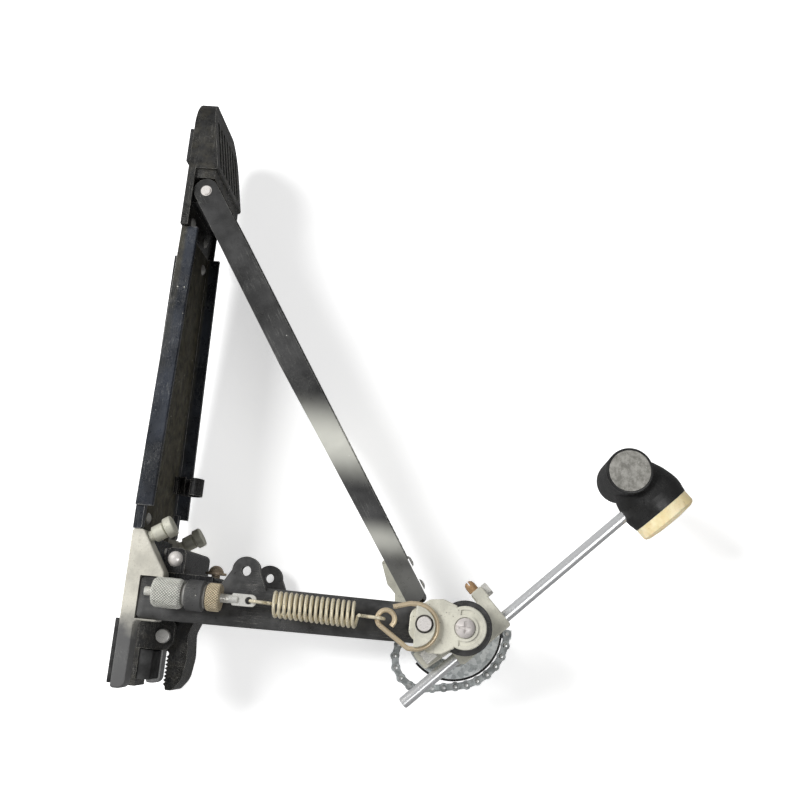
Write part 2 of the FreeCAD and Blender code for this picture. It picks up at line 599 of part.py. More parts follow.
def link_plates(length, y0, y1):
    """One pair of chain side plates along +X, mirrored about the chain's middle."""
    pair = []
    for side in (-1, 1):
        low, high = sorted((side * y0, side * y1))
        ends = rod_y(0, 0, low, high, LINK_END_R).fuse(rod_y(length, 0, low, high, LINK_END_R))
        pair.append(ends.fuse(box(0, length, low, high, -LINK_WAIST, LINK_WAIST)).removeSplitter())
    return pair


def inner_link():
    solid = rod_y(0, 0, -1.5, 1.5, ROLLER_R).fuse(rod_y(PITCH, 0, -1.5, 1.5, ROLLER_R))
    solid = solid.fuse(link_plates(PITCH, 1.45, 2.3))
    for x in (0, PITCH):
        solid = solid.cut(rod_y(x, 0, -3, 3, LINK_PIN_R + RUN))
    return solid.removeSplitter()


def outer_link():
    pins = [rod_y(x, 0, -3.9, 3.9, LINK_PIN_R) for x in (0, PITCH)]
    first, second = link_plates(PITCH, 2.4, 3.3)
    return first.fuse([second] + pins).removeSplitter()


def chain_layout():
    """Every pin from the cam to the toe, and the heading of the link that leaves it."""
    step = 2 * degrees(asin(PITCH / 2 / CHAIN_R))
    pins = [cam_point(CHAIN_FIRST - step * i, CHAIN_R, CHAIN_Y) for i in range(WRAPPED + 1)]
    headings = [CHAIN_FIRST - step * (i + 0.5) - 90 for i in range(WRAPPED)]
    headings += [STRAIGHT_HEADING] * STRAIGHT
    headings += [STRAIGHT_HEADING + CURL_TURN * (i + 1) for i in range(CURLED)]
    headings.append(headings[-1])
    for heading in headings[WRAPPED:]:
        ahead = V(cos(radians(heading)), 0, sin(radians(heading)))
        pins.append(pins[-1] + ahead * PITCH)
    return pins, headings


def build_chain():
    """Inner and outer links in turn. Links that never bend against each other share a node."""
    pins, headings = chain_layout()
    links = []
    for index, heading in enumerate(headings):
        link = inner_link() if index % 2 == 0 else outer_link()
        links.append(turned(link, -heading, pins[index]))
    last = len(links)
    groups = [range(0, CAM_FIXED)] + [[i] for i in range(CAM_FIXED, WRAPPED)]
    groups.append(range(WRAPPED, WRAPPED + STRAIGHT))
    groups += [[i] for i in range(WRAPPED + STRAIGHT, last - 2)]
    groups.append(range(last - 2, last))
    for group in groups:
        first = group[0] + 1
        name = "chain_wrapped" if first == 1 else "chain_link_%02d" % first
        keep(name, Part.makeCompound([links[i] for i in group]))


def build_cam_screws():
    """The pin that anchors the chain's first link, and the head of the cam's locking screw."""
    pin = cam_point(CHAIN_FIRST, CHAIN_R)
    anchor = rod_y(pin.x, pin.z, CHAIN_Y - 3.9, CAM_Y1 + 2, LINK_PIN_R)
    anchor = anchor.fuse(rod_y(pin.x, pin.z, CAM_Y1, CAM_Y1 + 2, 2.6)).removeSplitter()
    lock = placed(cap(3.3, 2.0), V(23, CAM_Y0, 229), V(0, -1, 0))
    keep("cam_screws", Part.makeCompound([anchor, lock]))


# ---- beater -------------------------------------------------------------------------------------
def build_hub():
    """Local axes: x is the offset from the axle, z runs up the beater rod."""
    outline = [(18, -17, 3), (18, 26, 2), (-6, 26, 0), (-6, 27, 0), (-15, 27, 2), (-15, 18, 2),
               (-7, 18, 1), (-12, 8, 0), (-14, -6, 3), (-9, -38, 2), (4, -38, 2), (6, -17, 2)]
    block = plate(outline, HUB_Y0, HUB_Y1).fuse(rod_y(0, 0, HUB_Y0, HUB_Y1, 14)).removeSplitter()
    block = softened(block, 1.0, lambda p: abs(p.y - HUB_Y0) < 0.01)
    block = block.cut(rod_y(0, 0, HUB_Y0 - 1, HUB_Y1 + 1, AXLE_R + SEAT))
    block = block.cut(rod(V(ROD_OFFSET, ROD_Y, -60), AXIS_Z, ROD_R + RUN, 120))
    block = block.cut(rod(V(-16, ROD_Y, 21.5), AXIS_X, 2.5 + SEAT, 26))
    keep("beater_hub", on_rod(block))

    seat = V(-15.1, ROD_Y, 21.5)
    screw = rod(seat, AXIS_X, 2.5, ROD_OFFSET - ROD_R - 0.2 - seat.x)
    profile = [(0, 0), (3.6, 0), (3.6, 4.5), (3.0, 6.5), (1.8, 7.6), (0, 8)]
    screw = screw.fuse(revolved(profile, seat, V(-1, 0, 0))).removeSplitter()
    keep("rod_screw", on_rod(screw.cut(box(-30, -20, ROD_Y - 5, ROD_Y + 5, 21.0, 22.0))))

    square = box(-6.4, 2.4, HUB_Y0 - 3.6, HUB_Y0 - 0.02, -34.4, -25.6)
    square = softened(square, 0.6, lambda p: p.y < HUB_Y0 - 3.5)
    hexagon = Part.Face(Part.makePolygon([V(4.6 * cos(radians(60 * i)), 4.6 * sin(radians(60 * i)), 0)
                                          for i in range(7)])).extrude(V(0, 0, 4))
    hexagon.translate(V(-10.4, ROD_Y, 27.02))
    keep("hub_screws", on_rod(Part.makeCompound([square, hexagon])))


def build_beater():
    shaft = rod(V(ROD_OFFSET, ROD_Y, ROD_LOW), AXIS_Z, ROD_R, ROD_HIGH - ROD_LOW)
    shaft = shaft.makeChamfer(0.8, [shaft.Edges[0], shaft.Edges[2]])
    keep("beater_rod", on_rod(shaft))

    profile = [(0, -12), (9, -12), (14, -9.5), (18, -4), (20.8, 3), (22.6, 10), (23.2, 15), (22.9, 19),
               (22.2, 22), (21.8, FACE_T), (0, FACE_T)]
    barrel = revolved(profile, V(0, ROD_Y, HEAD_S), AXIS_X)
    cross = rod_y(CROSS_T, CROSS_S, ROD_Y - CROSS_HALF, ROD_Y + CROSS_HALF, CROSS_R)
    cross = softened(cross, 1.2, lambda p: abs(abs(p.y - ROD_Y) - CROSS_HALF) < 0.01)
    body = barrel.fuse(cross).removeSplitter()
    body = body.cut(rod(V(ROD_OFFSET, ROD_Y, 100), AXIS_Z, ROD_R + RUN, ROD_HIGH + 1 - 100))
    pocket = 2.0
    pads = []
    for side in (-1, 1):
        face = ROD_Y + side * CROSS_HALF
        low, high = sorted((face, face - side * pocket))
        body = body.cut(rod_y(CROSS_T, CROSS_S, low, high, 14.1))
        low, high = sorted((face + side * 0.4, face - side * pocket))
        disc = rod_y(CROSS_T, CROSS_S, low, high, 14.0)
        pads.append(softened(disc, 0.35, lambda p, f=face, s=side: (p.y - f) * s > 0.3))
    keep("beater_head", on_rod(body))
    keep("beater_side_pads", on_rod(Part.makeCompound(pads)))
    face = revolved([(0, 0), (FACE_R, 0), (FACE_R, FACE_THICK - 3.2), (FACE_R - 0.9, FACE_THICK - 1.9),
                     (FACE_R - 3, FACE_THICK - 1.0), (12, FACE_THICK - 0.3), (0, FACE_THICK)],
                    V(FACE_T + 0.01, ROD_Y, HEAD_S), AXIS_X)
    keep("beater_face", on_rod(face))


# ---- rocker, link and spring --------------------------------------------------------------------
def build_rocker():
    disc = rod_y(0, AXLE_Z, ROCKER_Y0, ROCKER_Y1, 14)
    top = AXLE_Z - 6
    low = ROCKER_PIN_Z
    body = plate([(-13.6, top, 0), (-17, top - 9, 4), (-16, low + 2, 6), (-7.5, low - 10, 7.0),
                  (7.5, low - 10, 7.0), (18, low + 3, 6), (18, top - 8, 5), (13.6, top, 0)],
                 ROCKER_Y0, ROCKER_Y1)
    rocker = disc.fuse(body).removeSplitter()
    rocker = softened(rocker, 0.9, lambda p: abs(p.y - ROCKER_Y0) < 0.01)
    recess = tube_y(0, AXLE_Z, ROCKER_Y0, ROCKER_Y0 + 0.9, 11.6, 8.6)
    rocker = rocker.cut(recess.cut(box(-20, 20, -70, -40, AXLE_Z - 20, AXLE_Z - 3.5)))
    rocker = rocker.cut(rod_y(0, AXLE_Z, ROCKER_Y0 - 0.1, ROCKER_Y0 + 1.4, 6.9))
    rocker = rocker.cut(rod_y(0, AXLE_Z, ROCKER_Y0, ROCKER_Y1 + 1, AXLE_R + SEAT))
    rocker = rocker.cut(rod_y(0, low, ROCKER_Y0 - 1, ROCKER_Y1 + 1, 3 + SEAT))
    keep("rocker", rocker)

    screw = dome(6.4, 2.6, 2.5, 8)
    cross = box(-4, 4, -0.8, 0.8, 1.2, 4).fuse(box(-0.8, 0.8, -4, 4, 1.2, 4))
    screw = screw.cut(cross)
    keep("axle_screw", placed(screw, V(0, -60.35, AXLE_Z), V(0, -1, 0)))

    pin = rod_y(0, low, SWIVEL_Y0 - 0.3, ROCKER_Y1, 3)
    pin = pin.fuse(rod_y(0, low, SWIVEL_Y0 - 2.4, SWIVEL_Y0 - 0.1, 4.7)).removeSplitter()
    keep("rocker_pin", softened(pin, 0.7, lambda p: p.y < SWIVEL_Y0 - 2.3))


def wire_link():
    """The bent wire: an arch over the swivel and an open loop for the spring's top hook."""
    middle_z = ROCKER_PIN_Z - SWIVEL_DROP
    lean = radians(SPRING_LEAN)
    centre = V(EYE_X + LOOP_S * sin(lean), SPRING_Y, EYE_Z + LOOP_S * cos(lean))
    left, right, top = SWIVEL_X - ARCH_R, SWIVEL_X + ARCH_R, middle_z + ARCH_R
    gate = V(right, SPRING_Y, middle_z - 3.5)
    reach = hypot(gate.x - centre.x, gate.z - centre.z)
    angle = atan2(gate.z - centre.z, gate.x - centre.x) - acos(LOOP_R / reach)
    out = V(cos(angle), 0, sin(angle))
    along = V(sin(angle), 0, -cos(angle))
    points = [V(left + 3.2, SPRING_Y, middle_z - 15), V(left, SPRING_Y, middle_z - 4),
              V(left, SPRING_Y, top), V(right, SPRING_Y, top), gate]
    points += [centre + (out + along) * LOOP_R, centre + (along - out) * LOOP_R,
               centre - (out + along) * LOOP_R, centre - along * LOOP_R + out * 1.4]
    arch, loop = ARCH_R - 0.05, LOOP_R - 0.05
    return tube_along(points, [6, arch, arch, 3, loop, loop, loop], WIRE_R)


def grooved_disc(x, z):
    """The swivel's disc, whose rim has a round groove for the wire."""
    groove_r = WIRE_R + GROOVE
    half = sqrt(groove_r ** 2 - (ARCH_R - SWIVEL_R) ** 2)
    rim = x + SWIVEL_R
    corners = [V(x, SWIVEL_Y1, z), V(x, SWIVEL_Y0, z), V(rim, SWIVEL_Y0, z), V(rim, SPRING_Y - half, z)]
    far = [V(rim, SPRING_Y + half, z), V(rim, SWIVEL_Y1, z), corners[0]]
    edges = [Part.LineSegment(a, b).toShape() for a, b in zip(corners, corners[1:])]
    edges.append(Part.Arc(corners[-1], V(x + ARCH_R - groove_r, SPRING_Y, z), far[0]).toShape())
    edges += [Part.LineSegment(a, b).toShape() for a, b in zip(far, far[1:])]
    return Part.Face(Part.Wire(edges)).revolve(V(x, 0, z), AXIS_Y, 360)


def build_link():
    middle_z = ROCKER_PIN_Z - SWIVEL_DROP
    upper = box(SWIVEL_X - SWIVEL_R, SWIVEL_X + SWIVEL_R, SWIVEL_Y0, SWIVEL_Y1,
                middle_z, middle_z + SWIVEL_R)
    body = grooved_disc(SWIVEL_X, middle_z).common(upper)
    body = softened(body, 0.8, lambda p: abs(p.y - SWIVEL_Y0) < 0.01)
    keep("link_swivel", body.cut(rod_y(0, ROCKER_PIN_Z, SWIVEL_Y0 - 1, SWIVEL_Y1 + 1, 5.9 + SEAT)))
    keep("swivel_bearing", tube_y(0, ROCKER_PIN_Z, SWIVEL_Y0 + 0.3, SWIVEL_Y1, 5.9, 3 + RUN))
    keep("wire_link", wire_link())


def hook(centre_s, stem_from, stem_to, side):
    """A closed hook across the spring's axis, its stem and its arm to the coil."""
    loop = Part.makeTorus(HOOK_R, HOOK_WIRE_R, V(0, 0, centre_s), AXIS_X)
    low, high = sorted((stem_from, stem_to))
    stem = rod(V(0, 0, low), AXIS_Z, HOOK_WIRE_R, high - low)
    arm = rod(V(0, 0, stem_to), AXIS_Y * side, HOOK_WIRE_R, COIL_R)
    knee = Part.makeSphere(HOOK_WIRE_R, V(0, 0, stem_to))
    return loop.fuse([stem, knee, arm]).removeSplitter()


def build_spring():
    lower_centre = HOOK_R + 1.1
    upper_centre = LOOP_S - LOOP_R + WIRE_R + HOOK_WIRE_R + HOOK_GAP - HOOK_R
    lower = hook(lower_centre, lower_centre + HOOK_R, COIL_START - HOOK_WIRE_R - 0.1, 1)
    upper = hook(upper_centre, upper_centre - HOOK_R, COIL_END + HOOK_WIRE_R + 0.1, -1)
    keep("spring_hook_low", on_spring(lower))
    keep("spring_hook_top", on_spring(upper))
    outer, inner = COIL_R + COIL_WIRE_R, COIL_R - COIL_WIRE_R
    coil = ring(V(0, 0, COIL_START), AXIS_Z, COIL_END - COIL_START, outer, inner)
    keep("spring_coil", on_spring(coil))


def build_adjuster():
    """Every piece is on the tension bolt's vertical line."""
    place = V(EYE_X, SPRING_Y, 0)
    thread = threaded(BOLT_R, 56, 1.0, 0.3)
    thread.translate(V(0, 0, 22))
    neck = rod(V(0, 0, 77.5), AXIS_Z, BOLT_R - 0.3, 6)
    tab = plate([(-3.9, 80, 1), (3.9, 80, 1), (3.9, 96, 3.4), (-3.9, 96, 3.4)], -1.0, 1.0)
    eye = thread.fuse([neck, tab]).removeSplitter()
    eye = eye.cut(rod_y(0, EYE_Z, -5, 5, 2.4))
    eye.translate(place)
    keep("eye_bolt", eye)
    hole = BOLT_R + RUN
    big = revolved([(hole, 28), (8.4, 28), (NUT_R, 30), (NUT_R, 45.5), (8.6, 47.4), (hole, 47.4)], place)
    small = revolved([(hole, 63.8), (8.3, 63.8), (9.3, 64.8), (9.3, 71.6), (8.3, 72.6), (hole, 72.6)],
                     place)
    keep("tension_nut", big)
    keep("lock_nut", small)
    washers = [ring(place + V(0, 0, z), AXIS_Z, 1.0, r, hole)
               for z, r in ((LUG_Z0 - 1.0, 7.4), (LUG_Z0 - 2.2, 6.6), (LUG_Z1, 7.8))]
    keep("adjuster_washers", Part.makeCompound(washers))


def main():
    build_frame()
    build_pads()
    build_base()
    build_heel()
    build_screws()
    build_clamp()
    build_spurs()
    build_board()
    build_cam()
    build_chain()
    build_cam_screws()
    build_hub()
    build_beater()
    build_rocker()
    build_link()
    build_spring()
    build_adjuster()
    os.makedirs("parts", exist_ok=True)
    for name, shape in PARTS.items():
        if not shape.isValid():
            print("invalid shape:", name)
        shape.exportStep("parts/%s.step" % name)
    print(len(PARTS), "nodes")


main()
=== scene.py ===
"""A chain-driven bass drum pedal: its finer pieces, materials, floor, light and camera.

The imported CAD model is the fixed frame. Places and lengths below are in millimetres in the same
row frame (+X forward, +Y to the player's left, +Z up) and are turned into metres where Blender
needs them.
"""
import json
import math

import bpy
from mathutils import Matrix, Vector


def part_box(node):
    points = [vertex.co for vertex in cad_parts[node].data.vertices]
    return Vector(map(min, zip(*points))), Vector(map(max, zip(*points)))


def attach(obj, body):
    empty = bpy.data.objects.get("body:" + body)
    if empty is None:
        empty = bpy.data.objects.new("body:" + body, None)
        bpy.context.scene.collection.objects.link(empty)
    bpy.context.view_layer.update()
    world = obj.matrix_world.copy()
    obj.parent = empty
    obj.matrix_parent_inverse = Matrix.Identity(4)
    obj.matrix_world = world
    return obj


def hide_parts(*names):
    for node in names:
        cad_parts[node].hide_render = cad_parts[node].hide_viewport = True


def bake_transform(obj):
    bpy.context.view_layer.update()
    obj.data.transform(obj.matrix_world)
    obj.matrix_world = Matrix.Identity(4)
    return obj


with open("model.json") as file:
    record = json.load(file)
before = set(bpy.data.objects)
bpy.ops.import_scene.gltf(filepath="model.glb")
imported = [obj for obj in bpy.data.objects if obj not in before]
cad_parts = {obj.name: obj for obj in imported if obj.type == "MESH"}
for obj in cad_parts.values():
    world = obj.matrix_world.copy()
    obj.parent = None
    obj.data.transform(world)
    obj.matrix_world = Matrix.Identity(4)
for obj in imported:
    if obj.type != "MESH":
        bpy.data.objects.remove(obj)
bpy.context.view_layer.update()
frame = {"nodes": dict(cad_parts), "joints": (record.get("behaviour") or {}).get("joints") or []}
nodes = frame["nodes"]

MM = 0.001

# ---- driving places and sizes -------------------------------------------------------------------
PHOTO_SENSOR = 36.0
PHOTO_LENS = 47.9
CAMERA_PLACE = (6.8, -760.0, 226.2)
CAMERA_TARGET = (-158.9, 0.0, 171.7)
CAMERA_ROLL = -94.73          # the pedal lies on its side: up is to the right of the picture

LYING_PLANE_Y = 59.5          # the surface that the pedal lies on, at its left side
FLOOR_HALF = 4000.0
FLOOR_GLOW = 0.56             # keeps the surface pale where little light falls

LIGHT_TARGET = (-120, 0, 160)
LIGHT_SIZE = 1000
KEY_PLACE = (-500, -1350, -1050)
FILL_PLACE = (250, -1300, 900)
KEY_POWER = 30                # in watts; this part of the key leaves no sheen
SHEEN_POWER = 13              # the part that does
FILL_POWER = 6
WORLD_GLOW = 0.14

CAM_CENTRE = (2.0, 7.0, 224.0)
CHAIN_RADIUS = 38.0           # from the cam's centre to the chain's pins
CHAIN_PITCH = 8.0
CHAIN_CURL = -22.5            # the last link's turn from the one before it
OUTER_LINKS = {"rotor": [2], "chain_04": [4], "chain_06": [6], "chain_08": [8, 10],
               "chain_12": [12], "chain_14": [14], "chain_15": [16]}      # by the body they ride
RIVET_PROFILE = [(1.75, 3.25), (1.75, 3.55), (1.5, 3.95), (0.9, 4.15)]    # radius, height
RIVET_SIDES = 14

COIL_TURNS = 16
COIL_WIRE = 1.05              # the wire's radius
COIL_SHORTER = 0.6            # how much shorter the wound coil is than its CAD sleeve
COIL_STEPS = 28               # in one turn
WIRE_SIDES = 10

NUT_RADIUS = 10.0             # of the knurled nuts on the spring's bolt
NUT_BORE = 3.05
TENSION_NUT_PROFILE = [(8.4, 0.0), (9.9, 2.0), (9.9, 17.4), (8.6, 19.4)]
LOCK_NUT_PROFILE = [(8.3, 0.0), (9.2, 1.0), (9.2, 7.8), (8.3, 8.8)]
DIAMOND_STEPS = 6             # points across one knurled diamond
KNURL_FADE = 0.5              # the knurling dies out over this much loss of radius
KNURL_LEAN = 0.8              # the slant of the diamonds' sides

# Bands of painted sheen across the board, highlights painted into its coat: middle along X, reach,
# strength.
PAINTED_SHEEN_BANDS = ((-120.0, 34.0, 0.95), (-54.0, 16.0, 0.6), (-28.0, 26.0, 0.12))
CHANNEL_FLOOR = (9.0, 5.8)    # dust fades in between these heights ...
CHANNEL_SIDE = (47.0, 34.0)   # ... and between these distances from the middle
DARK_END = (6.0, 26.0)        # the foot's dark front end begins between these places; behind it the foot's pale tone is a painted reflection


# ---- places read from the frame -----------------------------------------------------------------
def centre_of(node):
    """The middle of a node's box, in millimetres."""
    low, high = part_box(node)
    return (Vector(low) + Vector(high)) / 2 / MM


def size_of(node):
    """The lengths of a node's box, in millimetres."""
    low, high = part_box(node)
    return (Vector(high) - Vector(low)) / MM


# ---- materials ----------------------------------------------------------------------------------
def colour(value):
    """A grey number or an (r, g, b) as a colour; a socket stays a socket."""
    if isinstance(value, bpy.types.NodeSocket):
        return value
    if isinstance(value, (int, float)):
        return (value, value, value, 1.0)
    return (*value, 1.0)


class Surface:
    """A procedural material in the making. Every length is in millimetres on the object."""

    def __init__(self, name):
        self.material = bpy.data.materials.new(name)
        self.material.use_nodes = True
        self.tree = self.material.node_tree
        self.shader = self.tree.nodes["Principled BSDF"]
        coords = self.tree.nodes.new("ShaderNodeTexCoord")
        self.place = self.vector("SCALE", coords.outputs["Object"], scale=1 / MM)
        self.height = None
        self.colour = None
        self.rough = None
        self.metal = None

    def plug(self, socket, value):
        """Give a socket a constant, or connect another node's output to it."""
        if isinstance(value, bpy.types.NodeSocket):
            self.tree.links.new(value, socket)
        else:
            socket.default_value = value

    def vector(self, operation, first, second=None, scale=None):
        node = self.tree.nodes.new("ShaderNodeVectorMath")
        node.operation = operation
        self.plug(node.inputs[0], first)
        if second is not None:
            self.plug(node.inputs[1], second)
        if scale is not None:
            node.inputs["Scale"].default_value = scale
        return node.outputs["Value" if operation == "DOT_PRODUCT" else "Vector"]

    def math(self, operation, first, second=0.0):
        node = self.tree.nodes.new("ShaderNodeMath")
        node.operation = operation
        self.plug(node.inputs[0], first)
        self.plug(node.inputs[1], second)
        return node.outputs[0]

    def band(self, value, start, end, low=0.0, high=1.0):
        """Goes smoothly from low to high as value goes from start to end."""
        node = self.tree.nodes.new("ShaderNodeMapRange")
        node.interpolation_type = "SMOOTHSTEP"
        for socket, given in zip(node.inputs, (value, start, end, low, high)):
            self.plug(socket, given)
        return node.outputs[0]

    def mix(self, amount, first, second):
        node = self.tree.nodes.new("ShaderNodeMix")
        node.data_type = "RGBA"
        self.plug(node.inputs["Factor"], amount)
        self.plug(node.inputs[6], colour(first))
        self.plug(node.inputs[7], colour(second))
        return node.outputs[2]

    def axis(self, name):
        node = self.tree.nodes.new("ShaderNodeSeparateXYZ")
        self.plug(node.inputs[0], self.place)
        return node.outputs[name]

    def mapped(self, turn=(0, 0, 0), stretch=(1, 1, 1), shift=(0, 0, 0)):
        """The place, turned so a direction lies along X, then divided by each stretch."""
        node = self.tree.nodes.new("ShaderNodeMapping")
        node.vector_type = "POINT"
        self.plug(node.inputs["Vector"], self.place)
        node.inputs["Rotation"].default_value = [math.radians(a) for a in turn]
        scaled = self.vector("DIVIDE", node.outputs[0], stretch)
        return self.vector("ADD", scaled, shift)

    def noise(self, size, detail=2.0, roughness=0.5, **mapping):
        """Cloudy noise with features of about this size."""
        node = self.tree.nodes.new("ShaderNodeTexNoise")
        self.plug(node.inputs["Vector"], self.mapped(**mapping))
        node.inputs["Scale"].default_value = 1 / size
        node.inputs["Detail"].default_value = detail
        node.inputs["Roughness"].default_value = roughness
        return node.outputs[0]

    def cells(self, spacing, **mapping):
        """The distance from each cell's middle, and two numbers that differ from cell to cell."""
        node = self.tree.nodes.new("ShaderNodeTexVoronoi")
        self.plug(node.inputs["Vector"], self.mapped(**mapping))
        node.inputs["Scale"].default_value = 1 / spacing
        split = self.tree.nodes.new("ShaderNodeSeparateColor")
        self.plug(split.inputs[0], node.outputs["Color"])
        return node.outputs["Distance"], split.outputs[0], split.outputs[1]

    def spots(self, spacing, size, share, **mapping):
        """1 inside small spots of up to this size. This share of the cells holds one."""
        distance, pick, reach = self.cells(spacing, **mapping)
        inside = self.math("LESS_THAN", distance, self.math("MULTIPLY", reach, size / spacing))
        chosen = self.math("LESS_THAN", pick, share)
        return self.math("MULTIPLY", inside, chosen)

    def blotches(self, size, start, end):
        """1 inside ragged patches: a fine noise, cut between these two values."""
        return self.band(self.noise(size, 5.0, 0.7), start, end)

    def scratches(self, turn, length, width, amount):
        """Thin lines along one direction, in clusters."""
        line = self.noise(1.0, 1.0, turn=turn, stretch=(length, width, width), shift=turn)
        from_middle = self.math("ABSOLUTE", self.math("SUBTRACT", line, 0.5))
        thin = self.band(from_middle, 0.0, 0.012, 1.0, 0.0)
        cluster = self.band(self.noise(22.0, 1.0, shift=turn), 0.62 - amount * 0.3, 0.7)
        return self.math("MULTIPLY", thin, cluster)

    def edges(self, radius, start=0.03, end=0.22):
        """1 along sharp edges, up to this far from them."""
        bevel = self.tree.nodes.new("ShaderNodeBevel")
        bevel.samples = 6
        bevel.inputs["Radius"].default_value = radius * MM
        geometry = self.tree.nodes.new("ShaderNodeNewGeometry")
        same = self.vector("DOT_PRODUCT", bevel.outputs[0], geometry.outputs["Normal"])
        ragged = self.math("MULTIPLY", self.noise(2.4, 4.0, 0.7), 1.5)
        away = self.math("MULTIPLY", self.math("SUBTRACT", 1.0, same), ragged)
        return self.band(away, start, end)

    def raise_by(self, amount, value):
        """Add value, scaled to this many millimetres, to the surface's height."""
        part = self.math("MULTIPLY", value, amount)
        self.height = part if self.height is None else self.math("ADD", self.height, part)

    def paint(self, amount, colour_over, rough_over=None, metal_over=None, strength=None):
        """Cover the surface with another colour and finish where amount is 1."""
        if strength is not None:
            amount = self.math("MULTIPLY", amount, strength)
        self.colour = self.mix(amount, self.colour, colour_over)
        if rough_over is not None:
            self.rough = self.lerp(amount, self.rough, rough_over)
        if metal_over is not None:
            self.metal = self.lerp(amount, self.metal, metal_over)

    def lerp(self, amount, first, second):
        """A number that goes from first to second as amount goes from 0 to 1."""
        node = self.tree.nodes.new("ShaderNodeMix")
        self.plug(node.inputs[0], amount)
        self.plug(node.inputs[2], first)
        self.plug(node.inputs[3], second)
        return node.outputs[0]

    def done(self, **constants):
        """Connect everything; each constant names a shader socket, with _ for its spaces."""
        shader = self.shader
        self.plug(shader.inputs["Base Color"], colour(self.colour))
        self.plug(shader.inputs["Roughness"], self.rough)
        self.plug(shader.inputs["Metallic"], self.metal)
        for name, value in constants.items():
            shader.inputs[name.replace("_", " ")].default_value = value
        if self.height is not None:
            bump = self.tree.nodes.new("ShaderNodeBump")
            bump.inputs["Distance"].default_value = MM
            self.plug(bump.inputs["Height"], self.height)
            self.plug(shader.inputs["Normal"], bump.outputs[0])
        return self.material


ALONG_X, ALONG_Y, ALONG_Z = (0, 0, 0), (0, 0, -90), (0, 90, 0)

# Colours of wear and dirt.
BARE_STEEL = (0.62, 0.60, 0.55)
CHIP = (0.74, 0.72, 0.66)
DULL_CHIP = (0.66, 0.64, 0.58)
DUST = (0.20, 0.175, 0.105)
CAST_EDGE = (0.85, 0.84, 0.8)
CAST_STAIN = (0.16, 0.15, 0.12)


def coated(name, base, rough, grain=0.5, chips=1.0, dust=0.0, metal=0.0, along=ALONG_X):
    """Paint or powder coat on metal: orange peel, rubbed patches, specks, scratches, bare edges."""
    s = Surface(name)
    broad = s.noise(34.0, 3.0, 0.6)
    fine = s.noise(5.0, 4.0, 0.65)
    dark = [c * 0.6 for c in base]
    light = [min(1.0, c * 1.4 + 0.004) for c in base]
    cloudy = s.math("ADD", s.math("MULTIPLY", broad, 0.7), s.math("MULTIPLY", fine, 0.3))
    s.colour = s.mix(s.band(cloudy, 0.36, 0.64), dark, light)
    s.rough = s.band(fine, 0.3, 0.7, rough - 0.07, rough + 0.09)
    s.metal = metal
    s.raise_by(0.035 * grain, s.noise(0.9, 2.0))
    s.raise_by(0.02 * grain, s.spots(1.6, 0.9, 0.5))
    rubbed = s.scratches(along, 26.0, 0.55, 0.8 * chips)
    crossing = s.scratches([a + 63 for a in along], 12.0, 0.4, 0.5 * chips)
    lines = s.math("MAXIMUM", rubbed, crossing)
    s.raise_by(-0.03, lines)
    s.paint(lines, BARE_STEEL, 0.35, 0.6, strength=0.45)
    s.paint(s.spots(3.4, 0.42, 0.10 * chips), CHIP, 0.6, 0.0, strength=0.8)
    s.paint(s.spots(7.5, 0.85, 0.10 * chips, shift=(4, 1, 7)), DULL_CHIP, 0.5, 0.2, strength=0.7)
    if dust:
        s.paint(s.blotches(9.0, 0.42, 0.7), DUST, 0.85, 0.0, strength=dust)
    uneven = s.band(s.noise(7.0, 3.0, 0.7), 0.40, 0.56, 0.12, 0.9)
    s.paint(s.edges(0.55), BARE_STEEL, 0.33, 0.75, strength=uneven)
    return s.done()


def board_paint():
    """The board's glossy black coat, with grey bands of painted sheen across it standing in for
    highlights.
    """
    s = Surface("board_coat")
    broad = s.noise(40.0, 3.0, 0.6)
    fine = s.noise(4.0, 4.0, 0.65)
    s.colour = s.mix(s.band(broad, 0.35, 0.65), 0.022, 0.055)
    s.rough = s.band(fine, 0.3, 0.7, 0.24, 0.34)
    s.metal = 0.0
    forward = s.axis("X")
    # painted highlight: each band lightens the black coat to a grey sheen
    for middle, reach, strength in PAINTED_SHEEN_BANDS:
        away = s.math("ABSOLUTE", s.math("SUBTRACT", forward, middle))
        sheen = s.math("MULTIPLY", s.band(away, reach, 0.0), s.band(broad, 0.2, 0.6, 0.75, 1.0))
        s.paint(sheen, (0.64, 0.64, 0.58), 0.4, 0.1, strength=strength)
    s.raise_by(0.02, s.noise(0.9, 2.0))
    lines = s.math("MAXIMUM", s.scratches((0, 32, 0), 26.0, 0.5, 0.6),
                   s.scratches((0, 80, 20), 9.0, 0.4, 0.3))
    s.raise_by(-0.02, lines)
    s.paint(lines, (0.5, 0.5, 0.47), 0.35, 0.5, strength=0.35)
    s.paint(s.spots(5.0, 0.5, 0.10), (0.62, 0.61, 0.56), 0.6, 0.0, strength=0.7)
    uneven = s.band(s.noise(12.0, 3.0, 0.7), 0.4, 0.6, 0.1, 0.8)
    s.paint(s.edges(0.45), (0.6, 0.59, 0.55), 0.33, 0.6, strength=uneven)
    return s.done()


